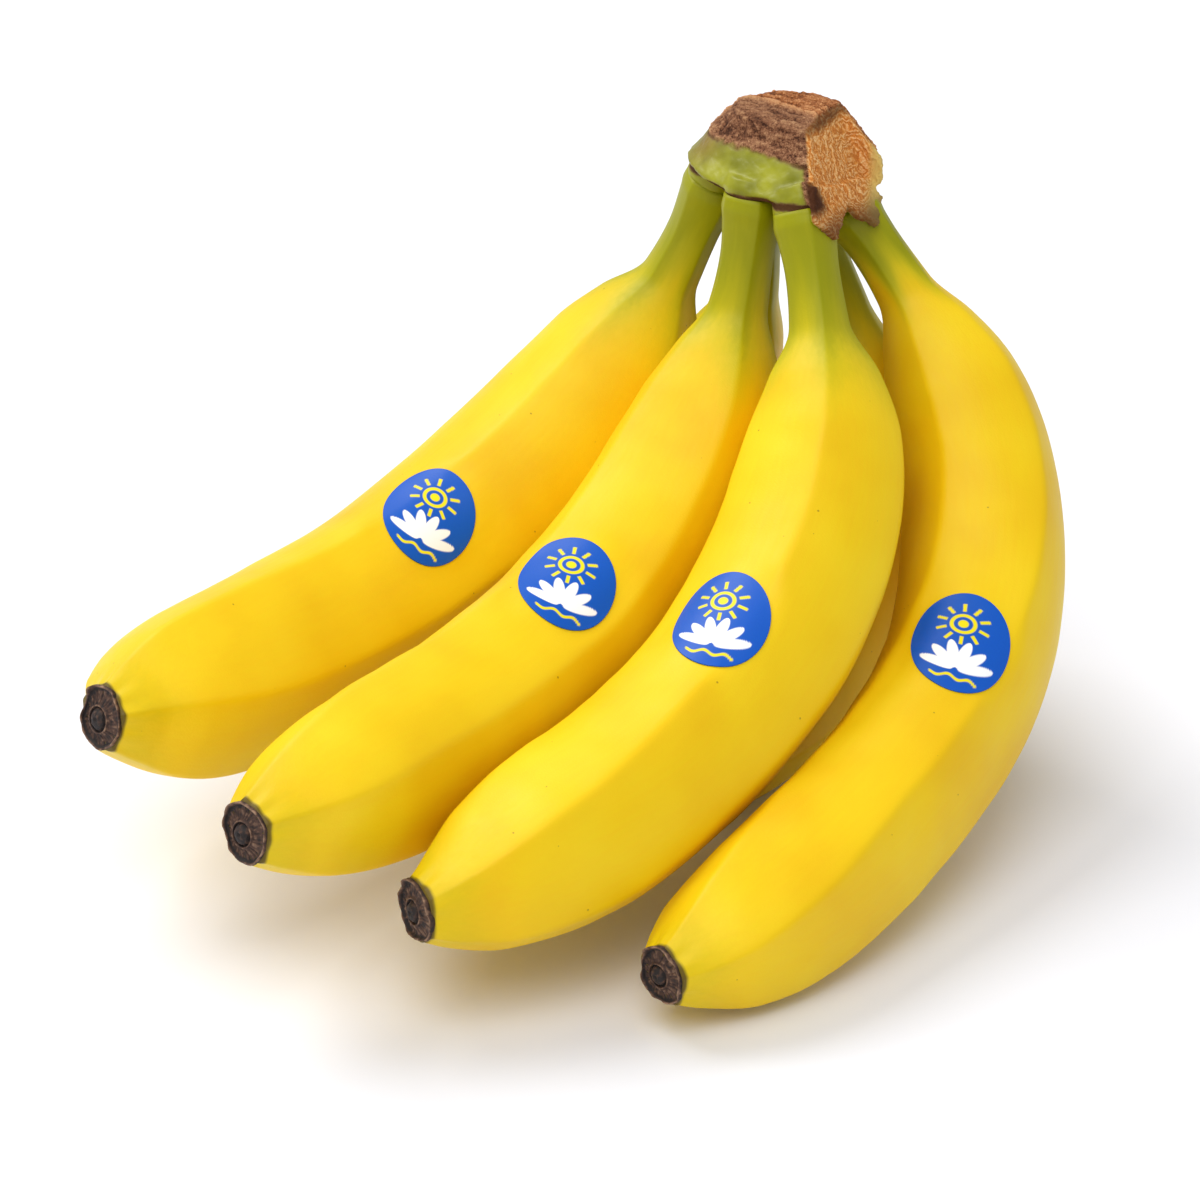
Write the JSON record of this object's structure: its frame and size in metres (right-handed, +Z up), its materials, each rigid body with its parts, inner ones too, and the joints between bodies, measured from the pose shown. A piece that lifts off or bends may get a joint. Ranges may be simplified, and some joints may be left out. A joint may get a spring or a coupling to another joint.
{
  "type": "bunch of bananas",
  "caption": "Bunch of ripe yellow bananas with green necks, dark blossom ends and oval labels, joined at a cut crown and resting on their bellies.",
  "frame": {"origin": "on the ground, under the middle of the bunch's bounding box", "axes": "+Z up, -Y towards the viewer of the front row, +X to the viewer's right; the crown is up and to the right, the front row's blossom ends point to -X and -Y"},
  "size_m": [0.2262, 0.2104, 0.156],
  "materials": {
    "peel": "smooth waxy ripe peel, yellow with green necks, satin",
    "blossom": "dry dark brown plant tissue, matte and wrinkled",
    "crown": "cut and dried plant fibre, brown and tan, matte",
    "label": "thin printed paper, satin"
  },
  "bodies": {
    "root": {"crown": "crown", "banana_1": "peel", "banana_1_tip": "blossom", "banana_2": "peel", "banana_2_tip": "blossom", "banana_3": "peel", "banana_3_tip": "blossom", "banana_4": "peel", "banana_4_tip": "blossom", "banana_5": "peel", "banana_5_tip": "blossom", "banana_6": "peel", "banana_6_tip": "blossom", "label_1": "label", "label_2": "label", "label_3": "label", "label_4": "label"}
  },
  "joints": []
}
